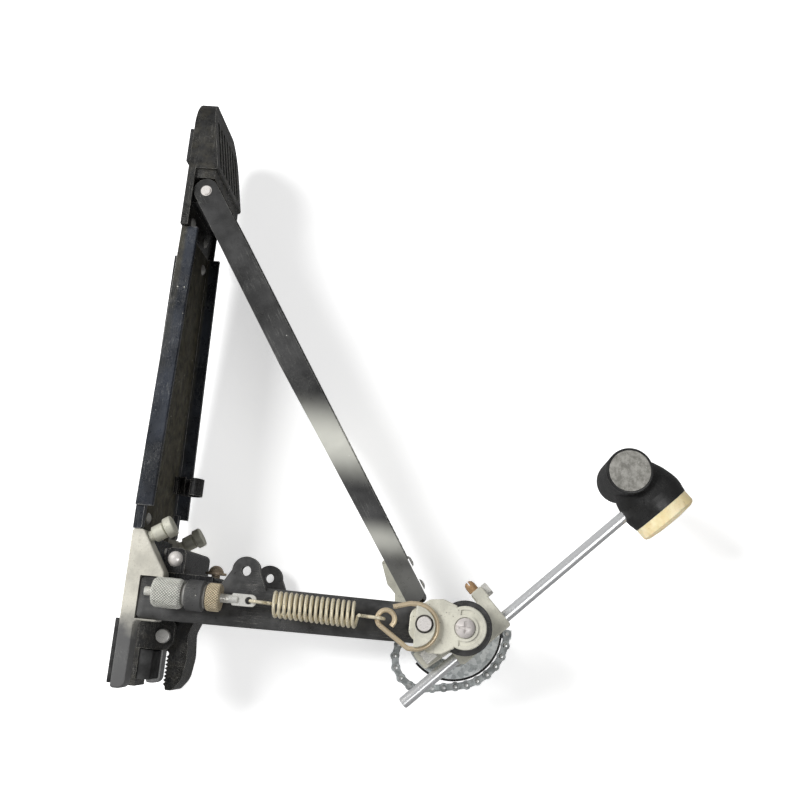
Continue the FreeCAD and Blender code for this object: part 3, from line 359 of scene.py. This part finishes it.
def base_paint():
    """The base's blue-black coat, with brown dust lying on the channel's floor."""
    s = Surface("base_paint")
    broad = s.noise(30.0, 3.0, 0.6)
    s.colour = s.mix(s.band(broad, 0.35, 0.65), (0.010, 0.012, 0.016), (0.030, 0.035, 0.046))
    s.rough = s.band(s.noise(4.0, 4.0), 0.3, 0.7, 0.24, 0.36)
    s.metal = 0.0
    s.raise_by(0.03, s.noise(1.0, 2.0))
    low_down = s.band(s.axis("Z"), *CHANNEL_FLOOR)
    between_walls = s.band(s.math("ABSOLUTE", s.axis("Y")), *CHANNEL_SIDE)
    inside = s.math("MULTIPLY", low_down, between_walls)
    brown = s.mix(s.blotches(6.0, 0.3, 0.7), (0.014, 0.012, 0.007), (0.070, 0.062, 0.036))
    s.paint(inside, brown, 0.8, 0.0)
    s.raise_by(0.05, s.math("MULTIPLY", inside, s.noise(1.4, 3.0)))
    lines = s.math("MAXIMUM", s.scratches(ALONG_X, 30.0, 0.6, 1.0),
                   s.scratches((0, 20, 40), 12.0, 0.4, 0.7))
    s.raise_by(-0.03, lines)
    s.paint(lines, (0.62, 0.62, 0.6), 0.35, 0.6, strength=0.5)
    s.paint(s.spots(4.0, 0.5, 0.14), (0.72, 0.70, 0.62), 0.7, 0.0, strength=0.85)
    uneven = s.band(s.noise(16.0, 3.0, 0.7), 0.36, 0.5, 0.2, 0.95)
    s.paint(s.edges(0.7, 0.02, 0.16), (0.78, 0.77, 0.74), 0.32, 0.8, strength=uneven)
    return s.done()


def cast(name, base, metal=0.35, rough=0.5, grain=1.0, stain=CAST_STAIN, dark_end=None):
    """Bare or plated casting: sandy grain, stains in the hollows and polished edges.

    dark_end gives the two places along X between which a dark coated end begins; before it, the
    foot's pale tone is a painted reflection.
    """
    s = Surface(name)
    broad = s.noise(16.0, 4.0, 0.6)
    fine = s.noise(1.3, 3.0, 0.6)
    light = [min(1.0, c * 1.12) for c in base]
    s.colour = s.mix(s.band(broad, 0.35, 0.65), [c * 0.82 for c in base], light)
    s.paint(s.band(fine, 0.56, 0.68), [c * 0.55 for c in base], strength=0.35)
    s.rough = s.band(fine, 0.3, 0.7, rough - 0.1, rough + 0.1)
    s.metal = metal
    s.raise_by(0.05 * grain, s.noise(0.7, 3.0, 0.6))
    s.raise_by(0.05 * grain, s.noise(3.2, 2.0))
    pits = s.spots(2.2, 0.42, 0.3)
    s.raise_by(-0.08 * grain, pits)
    s.paint(pits, stain, 0.7, strength=0.65)
    s.paint(s.blotches(8.0, 0.56, 0.74), stain, 0.65, strength=0.5)
    if dark_end:
        ragged = s.math("ADD", s.axis("X"), s.band(broad, 0.3, 0.7, -5.0, 5.0))
        # the foot's dark coat shows from here on; the pale base before it is painted reflection
        s.paint(s.band(ragged, *dark_end), 0.10, 0.4, 0.0)
        s.paint(s.spots(3.0, 0.4, 0.12), CHIP, 0.6, strength=0.8)
    lines = s.scratches((0, 35, 20), 14.0, 0.45, 0.9)
    s.raise_by(-0.02, lines)
    s.paint(lines, CAST_EDGE, 0.3, 0.9, strength=0.6)
    s.paint(s.edges(0.5), CAST_EDGE, 0.28, 0.85, strength=0.75)
    return s.done()


def spangled():
    """Zinc plate on the cam: bright crystal patches with dull grey ones."""
    s = Surface("cam_zinc")
    crystal = s.cells(3.0)[1]
    s.colour = s.mix(s.band(crystal, 0.1, 0.9), (0.56, 0.60, 0.61), (0.88, 0.91, 0.92))
    s.rough = s.band(crystal, 0.0, 1.0, 0.32, 0.52)
    s.metal = 0.12
    s.paint(s.blotches(7.0, 0.52, 0.66), (0.26, 0.28, 0.28), 0.5, strength=0.6)
    s.raise_by(0.02, crystal)
    s.raise_by(0.03, s.noise(0.8, 3.0))
    s.paint(s.scratches((0, 30, 0), 9.0, 0.4, 1.0), (0.95, 0.95, 0.93), 0.25, 0.9, strength=0.7)
    s.paint(s.edges(0.4), (0.93, 0.93, 0.9), 0.25, 0.9)
    return s.done()


def bright(name, base, rough, along, tarnish, metal, rust=0.0):
    """Plated or polished steel: fine drawn lines, hazy patches, pits and a little rust."""
    s = Surface(name)
    drawn = s.noise(1.0, 3.0, 0.6, turn=along, stretch=(30.0, 0.22, 0.22))
    haze = s.noise(6.0, 4.0, 0.65)
    s.colour = s.mix(s.band(haze, 0.35, 0.7), base, [c * (1 - 0.35 * tarnish) for c in base])
    s.paint(s.band(drawn, 0.55, 0.75, 0.0, 0.25), [c * 0.5 for c in base])
    s.rough = s.math("ADD", s.band(haze, 0.3, 0.7, rough - 0.05, rough + 0.12),
                     s.band(drawn, 0.3, 0.7, -0.03, 0.05))
    s.metal = metal
    s.raise_by(0.012, drawn)
    pits = s.spots(1.9, 0.36, 0.22)
    s.raise_by(-0.03, pits)
    s.paint(pits, (0.12, 0.10, 0.08), 0.6, 0.3, strength=0.5)
    if rust:
        bloom = s.band(s.noise(3.5, 5.0, 0.75), 0.58, 0.72)
        s.paint(bloom, (0.23, 0.11, 0.045), 0.85, 0.1, strength=rust)
    return s.done()


def knurled_metal(name, peak, valley, pitch=2.0):
    """Diamond knurling around the spring's bolt, with painted shade darkening its grooves."""
    s = Surface(name)
    bolt = centre_of("eye_bolt")
    around = s.math("ARCTAN2", s.math("SUBTRACT", s.axis("Y"), bolt.y),
                    s.math("SUBTRACT", s.axis("X"), bolt.x))
    turns = s.math("MULTIPLY", around, float(round(math.pi * NUT_RADIUS / pitch)))
    climb = s.math("MULTIPLY", s.axis("Z"), math.pi / pitch)
    left = s.math("ABSOLUTE", s.math("SINE", s.math("ADD", turns, climb)))
    right = s.math("ABSOLUTE", s.math("SINE", s.math("SUBTRACT", turns, climb)))
    tooth = s.band(s.math("MINIMUM", left, right), 0.05, 0.6)
    # painted shade: the valley colour darkens the knurl's grooves, the peak colour lights its
    # crests
    s.colour = s.mix(tooth, valley, peak)
    s.rough = s.band(s.noise(2.0, 3.0), 0.3, 0.7, 0.34, 0.46)
    s.metal = 0.35
    s.raise_by(0.25, tooth)
    s.paint(s.blotches(4.0, 0.56, 0.72), valley, 0.6, strength=0.5)
    return s.done()


def chain_steel():
    """Oiled, blue-grey side plates, rubbed bright on their edges."""
    s = Surface("chain_plates")
    s.colour = s.mix(s.band(s.noise(4.0, 4.0), 0.35, 0.65), (0.30, 0.32, 0.32), (0.58, 0.61, 0.61))
    s.rough = s.band(s.noise(2.0, 3.0), 0.3, 0.7, 0.34, 0.5)
    s.metal = 0.45
    s.raise_by(0.02, s.noise(0.8, 3.0))
    s.paint(s.blotches(2.6, 0.55, 0.7), (0.07, 0.06, 0.045), 0.7, 0.2, strength=0.6)
    s.paint(s.edges(0.25), (0.55, 0.57, 0.57), 0.3, 0.7, strength=0.8)
    return s.done()


def rubber(name, base, rough):
    """Matt black rubber or soft plastic, with dust specks and greyed edges."""
    s = Surface(name)
    s.colour = s.mix(s.band(s.noise(9.0, 4.0), 0.35, 0.7), base, base * 2.4)
    s.paint(s.spots(3.0, 0.4, 0.15), (0.3, 0.29, 0.26), strength=0.5)
    s.rough = s.band(s.noise(1.2, 3.0), 0.3, 0.7, rough - 0.12, rough + 0.1)
    s.metal = 0.0
    s.raise_by(0.05, s.noise(0.5, 3.0))
    s.paint(s.edges(0.4), (0.12, 0.12, 0.115), strength=0.35)
    return s.done(Specular_IOR_Level=0.3)


def head_plastic():
    """Moulded black plastic of the beater's body: smooth, with a faint mould texture and scuffs."""
    s = Surface("head_plastic")
    s.colour = s.mix(s.band(s.noise(18.0, 3.0), 0.3, 0.7), 0.010, 0.022)
    s.rough = s.band(s.noise(3.0, 4.0), 0.3, 0.7, 0.27, 0.40)
    s.metal = 0.0
    s.raise_by(0.012, s.noise(0.6, 2.0))
    lines = s.math("MAXIMUM", s.scratches((0, 45, 10), 10.0, 0.35, 0.8),
                   s.scratches((30, -20, 60), 7.0, 0.3, 0.5))
    s.raise_by(-0.015, lines)
    s.paint(lines, (0.35, 0.35, 0.34), 0.55, strength=0.25)
    s.paint(s.spots(3.6, 0.36, 0.08), (0.5, 0.49, 0.46), 0.7, strength=0.7)
    s.paint(s.edges(0.4), (0.12, 0.12, 0.12), 0.3, strength=0.3)
    return s.done(Specular_IOR_Level=0.5)


def side_disc():
    """The grey, speckled striking discs at the ends of the cross cylinder."""
    s = Surface("side_disc")
    s.colour = s.mix(s.blotches(5.0, 0.35, 0.65), (0.20, 0.195, 0.175), (0.40, 0.39, 0.36))
    s.rough = 0.55
    s.metal = 0.25
    s.paint(s.spots(1.1, 0.42, 0.45), (0.72, 0.71, 0.67), 0.5, strength=0.6)
    s.paint(s.spots(1.5, 0.5, 0.3, shift=(3, 5, 1)), (0.10, 0.10, 0.09), 0.7, strength=0.6)
    s.raise_by(0.06, s.noise(0.6, 3.0))
    s.paint(s.edges(0.7, 0.02, 0.12), (0.80, 0.79, 0.75), 0.35, 0.5, strength=0.9)
    return s.done()


def cream_face():
    """The worn cream striking face, yellowed towards its rim."""
    s = Surface("cream_face")
    s.colour = s.mix(s.band(s.noise(11.0, 4.0, 0.6), 0.35, 0.65), (0.80, 0.66, 0.36),
                     (0.93, 0.82, 0.54))
    s.rough = s.band(s.noise(3.0, 4.0), 0.3, 0.7, 0.38, 0.55)
    s.metal = 0.0
    s.raise_by(0.05, s.noise(1.6, 4.0, 0.6))
    stained = s.band(s.noise(5.0, 6.0, 0.75), 0.58, 0.72)
    s.paint(stained, (0.42, 0.30, 0.14), 0.6, strength=0.55)
    lines = s.scratches((10, 50, 0), 9.0, 0.5, 1.0)
    s.raise_by(-0.03, lines)
    s.paint(lines, (0.5, 0.42, 0.28), strength=0.4)
    s.paint(s.edges(0.9, 0.01, 0.10), (0.93, 0.88, 0.70), 0.35, strength=0.75)
    return s.done(Subsurface_Weight=0.08, Subsurface_Scale=0.003)


def paper():
    """The plain pale surface that the pedal lies on. Seen from behind, it isn't there."""
    s = Surface("pale_floor")
    s.colour = s.mix(s.band(s.noise(40.0, 2.0), 0.3, 0.7), 0.90, 0.93)
    s.rough = 0.9
    s.metal = 0.0
    material = s.done(Emission_Color=(1.0, 1.0, 1.0, 1.0), Emission_Strength=FLOOR_GLOW)
    tree = s.tree
    geometry = tree.nodes.new("ShaderNodeNewGeometry")
    clear = tree.nodes.new("ShaderNodeBsdfTransparent")
    choose = tree.nodes.new("ShaderNodeMixShader")
    tree.links.new(geometry.outputs["Backfacing"], choose.inputs[0])
    tree.links.new(s.shader.outputs[0], choose.inputs[1])
    tree.links.new(clear.outputs[0], choose.inputs[2])
    tree.links.new(choose.outputs[0], tree.nodes["Material Output"].inputs["Surface"])
    return material


FINISHES = {
    "post": coated("post_coat", (0.050, 0.050, 0.050), rough=0.34, grain=0.6, chips=0.7,
                   along=ALONG_Z),
    # painted reflection: the foot's pale tone stands in for light mirrored by its dark coat
    "foot": cast("foot_painted_sheen", (0.56, 0.54, 0.47), metal=0.1, stain=(0.24, 0.22, 0.18),
                 dark_end=DARK_END),
    "screw": cast("screw_plate", (0.66, 0.62, 0.60), metal=0.3, rough=0.4, grain=0.6),
    "base": base_paint(),
    "heel": coated("heel_coat", (0.012, 0.012, 0.012), rough=0.30, grain=1.0, chips=1.5,
                   dust=0.10),
    "board": board_paint(),
    "black": coated("black_coat", (0.010, 0.010, 0.011), rough=0.20),
    "iron": coated("clamp_iron", (0.020, 0.020, 0.020), rough=0.25, grain=0.9, dust=0.1,
                   metal=0.2),
    "race": coated("bearing_race", (0.075, 0.070, 0.062), rough=0.32, chips=0.6, metal=0.5,
                   along=ALONG_Y),
    "zinc": cast("bracket_zinc", (0.60, 0.59, 0.50), rough=0.42, grain=0.6),
    "hub": cast("hub_zinc", (0.66, 0.645, 0.55), metal=0.2, rough=0.42, grain=0.7),
    "cam": spangled(),
    "rod": bright("rod_chrome", (0.86, 0.87, 0.88), 0.16, (0, 45, 0), 0.2, metal=0.6),
    "pin": bright("pin_steel", (0.86, 0.82, 0.79), 0.24, ALONG_Y, 0.2, metal=0.4),
    "steel": bright("plain_steel", (0.70, 0.69, 0.66), 0.3, ALONG_Y, 0.4, rust=0.2, metal=0.6),
    "bolt": bright("bolt_steel", (0.84, 0.83, 0.78), 0.26, ALONG_Z, 0.3, rust=0.1, metal=0.55),
    "knurl": knurled_metal("knurled_steel", (0.80, 0.80, 0.74), (0.24, 0.24, 0.21)),
    "knurled_brass": knurled_metal("knurled_brass", (0.74, 0.64, 0.46), (0.22, 0.16, 0.09)),
    "copper": bright("copper_plate", (0.66, 0.42, 0.23), 0.28, ALONG_Y, 0.4, metal=0.6),
    "dome": bright("tinted_dome", (0.68, 0.54, 0.40), 0.24, ALONG_Y, 0.4, rust=0.2, metal=0.6),
    "wire": bright("gilt_wire", (0.80, 0.66, 0.46), 0.3, ALONG_Z, 0.3, metal=0.6),
    "spring": bright("spring_wire", (0.90, 0.82, 0.62), 0.28, ALONG_Z, 0.3, rust=0.1, metal=0.5),
    "chain": chain_steel(),
    "rivet": bright("rivet_steel", (0.78, 0.79, 0.78), 0.3, ALONG_Y, 0.3, metal=0.8),
    "rubber": rubber("floor_rubber", base=0.02, rough=0.75),
    "strip": rubber("strip_plastic", base=0.008, rough=0.5),
    "head": head_plastic(),
    "disc": side_disc(),
    "face": cream_face(),
}

NODE_FINISH = {
    "right_post": "post", "left_post": "post", "right_foot": "foot", "left_foot": "foot",
    "axle_bearings": "race", "base_bridge": "base", "base_plate": "base", "key_clip": "black",
    "heel_plate": "heel", "hinge_block": "black", "floor_pads": "rubber", "clamp_pad": "rubber",
    "clamp_bridge": "black", "clamp_block": "iron", "clamp_jaw": "iron", "clamp_pivot": "steel",
    "clamp_bolt": "dome", "bar_bolts": "pin", "frame_screws": "steel", "bracket_screws": "steel",
    "adjuster_washers": "steel", "axle": "bolt", "axle_screw": "screw", "cam": "cam",
    "cam_strip": "strip", "cam_screws": "steel", "beater_hub": "hub", "hub_screws": "bolt",
    "rod_screw": "copper", "rocker": "hub", "rocker_pin": "pin", "link_swivel": "hub",
    "swivel_bearing": "race", "wire_link": "wire", "eye_bolt": "bolt", "tension_nut": "knurl",
    "lock_nut": "knurled_brass", "spring_hook_low": "spring", "spring_hook_top": "spring",
    "spring_coil": "spring", "footboard": "board", "heel_pin": "pin", "chain_bracket": "zinc",
    "beater_rod": "rod", "beater_head": "head", "beater_face": "face", "beater_side_pads": "disc",
    "spur_left": "zinc", "spur_right": "zinc",
}


for node_name, node_object in nodes.items():
    node_object.data.materials.clear()
    node_object.data.materials.append(FINISHES[NODE_FINISH.get(node_name, "chain")])


# ---- finer pieces -------------------------------------------------------------------------------
def mesh_object(name, points, faces, finish, smooth=True):
    """A mesh from points in millimetres and its faces."""
    mesh = bpy.data.meshes.new(name)
    mesh.from_pydata([Vector(p) * MM for p in points], [], faces)
    mesh.update()
    if smooth:
        mesh.polygons.foreach_set("use_smooth", [True] * len(mesh.polygons))
    obj = bpy.data.objects.new(name, mesh)
    bpy.context.scene.collection.objects.link(obj)
    obj.data.materials.append(FINISHES[finish])
    return obj


def lathe_grid(rings, steps):
    """Faces of a closed tube of rings, each with this many points; the ends are left open."""
    faces = []
    for ring in range(rings - 1):
        for step in range(steps):
            a = ring * steps + step
            b = ring * steps + (step + 1) % steps
            faces.append((a, b, b + steps, a + steps))
    return faces


def spring_helix():
    """The real coil: round wire wound between the two hooks."""
    joint = next(j for j in frame["joints"] if j["name"] == "spring_stretch")
    along = Vector(joint["axis"]).normalized()
    low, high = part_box("spring_coil")
    middle = Vector([(a + b) / 2 for a, b in zip(low, high)]) / MM
    length = (high[2] - low[2]) / MM / along.z - COIL_SHORTER
    side = Vector((0, 1, 0))
    across = side.cross(along).normalized()
    radius = size_of("spring_coil").y / 2 - COIL_WIRE
    first = middle - along * (length / 2 - COIL_WIRE)
    travel = length - 2 * COIL_WIRE
    count = COIL_TURNS * COIL_STEPS
    spine = []
    for i in range(count + 1):
        turn = 2 * math.pi * i / COIL_STEPS + math.pi / 2
        radial = side * math.sin(turn) + across * math.cos(turn)
        spine.append((first + along * (travel * i / count) + radial * radius, radial))
    points = []
    for centre, radial in spine:
        for k in range(WIRE_SIDES):
            angle = 2 * math.pi * k / WIRE_SIDES
            points.append(centre + radial * (COIL_WIRE * math.cos(angle))
                          + along * (COIL_WIRE * math.sin(angle)))
    faces = lathe_grid(count + 1, WIRE_SIDES)
    faces.append(tuple(reversed(range(WIRE_SIDES))))
    faces.append(tuple(range(count * WIRE_SIDES, (count + 1) * WIRE_SIDES)))
    coil = mesh_object("spring_helix", points, faces, "spring")
    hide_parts("spring_coil")
    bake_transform(coil)


def knurled_wheel(name, node, body, finish, profile, pitch, depth):
    """A turned wheel on a vertical axis, with diamond knurling wherever its profile is widest.

    profile holds (radius, height above the wheel's foot) from bottom to top.
    """
    centre = centre_of(node)
    foot = centre.z - size_of(node).z / 2
    widest = max(r for r, _ in profile)
    diamonds = round(2 * math.pi * widest / pitch)
    steps = diamonds * DIAMOND_STEPS
    rows = []
    for (r0, h0), (r1, h1) in zip(profile, profile[1:]):
        count = 3
        if min(r0, r1) > widest - 0.01:
            count = max(1, round((h1 - h0) / (pitch / DIAMOND_STEPS)))
        rows += [(r0 + (r1 - r0) * i / count, h0 + (h1 - h0) * i / count) for i in range(count)]
    rows.append(profile[-1])

    def tooth(phase):
        """1 at the crests of a zigzag wave, 0 between them."""
        return abs(phase % 1.0 - 0.5) * 2

    points = []
    for radius, height in rows:
        fade = min(1.0, max(0.0, (radius - widest + KNURL_FADE) / KNURL_FADE))
        for step in range(steps):
            turn = step / steps
            lean = height / pitch * KNURL_LEAN
            ridge = min(tooth(diamonds * turn + lean), tooth(diamonds * turn - lean))
            r = radius - depth * fade * (1 - ridge)
            points.append((centre.x + r * math.cos(2 * math.pi * turn),
                           centre.y + r * math.sin(2 * math.pi * turn), foot + height))
    inner = len(points)
    for height in (rows[-1][1], rows[0][1]):
        for step in range(steps):
            turn = 2 * math.pi * step / steps
            points.append((centre.x + NUT_BORE * math.cos(turn),
                           centre.y + NUT_BORE * math.sin(turn), foot + height))
    faces = lathe_grid(len(rows), steps)
    top = (len(rows) - 1) * steps
    for step in range(steps):
        ahead = (step + 1) % steps
        faces.append((top + step, top + ahead, inner + ahead, inner + step))
        faces.append((inner + step, inner + ahead, inner + steps + ahead, inner + steps + step))
        faces.append((inner + steps + step, inner + steps + ahead, ahead, step))
    wheel = mesh_object(name, points, faces, finish, smooth=False)
    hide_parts(node)
    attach(wheel, body)


def chain_pins():
    """The places of the chain's pins 1 to 16, by number, in the plane of the chain.

    The frame's joints give pins 3 to 7 and 10 to 14; the others follow from their neighbours.
    """
    pins = {}
    for joint in frame["joints"]:
        if joint["name"].startswith("chain_bend_"):
            pins[int(joint["name"][-2:]) - 1] = Vector(joint["pos_m"]) / MM
    step = 2 * math.asin(CHAIN_PITCH / 2 / CHAIN_RADIUS)
    centre = Vector(CAM_CENTRE)
    for index in (2, 1):
        pins[index] = centre + Matrix.Rotation(-step, 3, "Y") @ (pins[index + 1] - centre)
    for index in (8, 9):
        pins[index] = pins[7].lerp(pins[10], (index - 7) / 3)
    last_run = Matrix.Rotation(math.radians(-CHAIN_CURL), 3, "Y") @ (pins[14] - pins[13])
    for index in (15, 16):
        pins[index] = pins[index - 1] + last_run
    return pins


def rivets():
    """The bright domed ends of the chain's pins, on both faces of every outer link."""
    pins = chain_pins()
    last_ring = (len(RIVET_PROFILE) - 1) * RIVET_SIDES
    for body, links in OUTER_LINKS.items():
        points, faces = [], []
        for centre in [pins[link - 1 + end] for link in links for end in (0, 1)]:
            for side in (-1, 1):
                first = len(points)
                for radius, height in RIVET_PROFILE:
                    for k in range(RIVET_SIDES):
                        angle = side * 2 * math.pi * k / RIVET_SIDES
                        points.append(centre + Vector((radius * math.sin(angle), side * height,
                                                       radius * math.cos(angle))))
                faces += [tuple(first + corner for corner in face)
                          for face in lathe_grid(len(RIVET_PROFILE), RIVET_SIDES)]
                faces.append(tuple(first + last_ring + k for k in range(RIVET_SIDES)))
                faces.append(tuple(first + k for k in reversed(range(RIVET_SIDES))))
        heads = mesh_object("rivets_" + body, points, faces, "rivet")
        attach(heads, body)


spring_helix()
rivets()
knurled_wheel("tension_wheel_knurled", "tension_nut", "tension_wheel", "knurl",
              TENSION_NUT_PROFILE, pitch=1.5, depth=0.38)
knurled_wheel("lock_wheel_knurled", "lock_nut", "lock_wheel", "knurled_brass",
              LOCK_NUT_PROFILE, pitch=1.4, depth=0.34)


# ---- floor, light and camera --------------------------------------------------------------------
def lying_floor():
    """The pale plane at the pedal's left side."""
    corners = [(x * FLOOR_HALF, LYING_PLANE_Y, z * FLOOR_HALF)
               for x, z in ((-1, -1), (1, -1), (1, 1), (-1, 1))]
    mesh = bpy.data.meshes.new("pale_floor")
    mesh.from_pydata([Vector(c) * MM for c in corners], [], [(0, 1, 2, 3)])
    mesh.update()
    floor = bpy.data.objects.new("pale_floor", mesh)
    floor.data.materials.append(paper())
    bpy.context.scene.collection.objects.link(floor)
    floor.visible_glossy = False      # so the pieces' edges stay dark


def soft_light(name, place, power, mirrored=True):
    """A round soft light. One that isn't mirrored leaves no sheen on glossy surfaces."""
    data = bpy.data.lights.new(name, "AREA")
    data.shape = "DISK"
    data.size = LIGHT_SIZE * MM
    data.energy = power
    lamp = bpy.data.objects.new(name, data)
    bpy.context.scene.collection.objects.link(lamp)
    lamp.location = Vector(place) * MM
    aim = Vector(LIGHT_TARGET) - Vector(place)
    lamp.rotation_euler = aim.to_track_quat("-Z", "Y").to_euler()
    lamp.visible_glossy = mirrored


def studio():
    """An even pale surround, a key from the picture's upper left and a weak fill."""
    world = bpy.data.worlds.new("studio")
    bpy.context.scene.world = world
    world.use_nodes = True
    backdrop = world.node_tree.nodes["Background"]
    backdrop.inputs["Color"].default_value = (1.0, 1.0, 1.0, 1.0)
    backdrop.inputs["Strength"].default_value = WORLD_GLOW
    soft_light("key", KEY_PLACE, KEY_POWER, mirrored=False)
    soft_light("key_sheen", KEY_PLACE, SHEEN_POWER)
    soft_light("fill", FILL_PLACE, FILL_POWER)
    bpy.context.scene.view_settings.view_transform = "Standard"


def photo_camera():
    """The camera that the pedal is seen with, lying on its side."""
    data = bpy.data.cameras.new("photo_camera")
    data.sensor_width = PHOTO_SENSOR
    data.lens = PHOTO_LENS
    data.clip_start, data.clip_end = 0.01, 50.0
    camera = bpy.data.objects.new("photo_camera", data)
    bpy.context.scene.collection.objects.link(camera)
    aim = Vector(CAMERA_TARGET) - Vector(CAMERA_PLACE)
    facing = aim.to_track_quat("-Z", "Y").to_matrix()
    roll = Matrix.Rotation(math.radians(-CAMERA_ROLL), 3, "Z")
    camera.matrix_world = Matrix.Translation(Vector(CAMERA_PLACE) * MM) @ (facing @ roll).to_4x4()
    bpy.context.scene.camera = camera


lying_floor()
studio()
photo_camera()
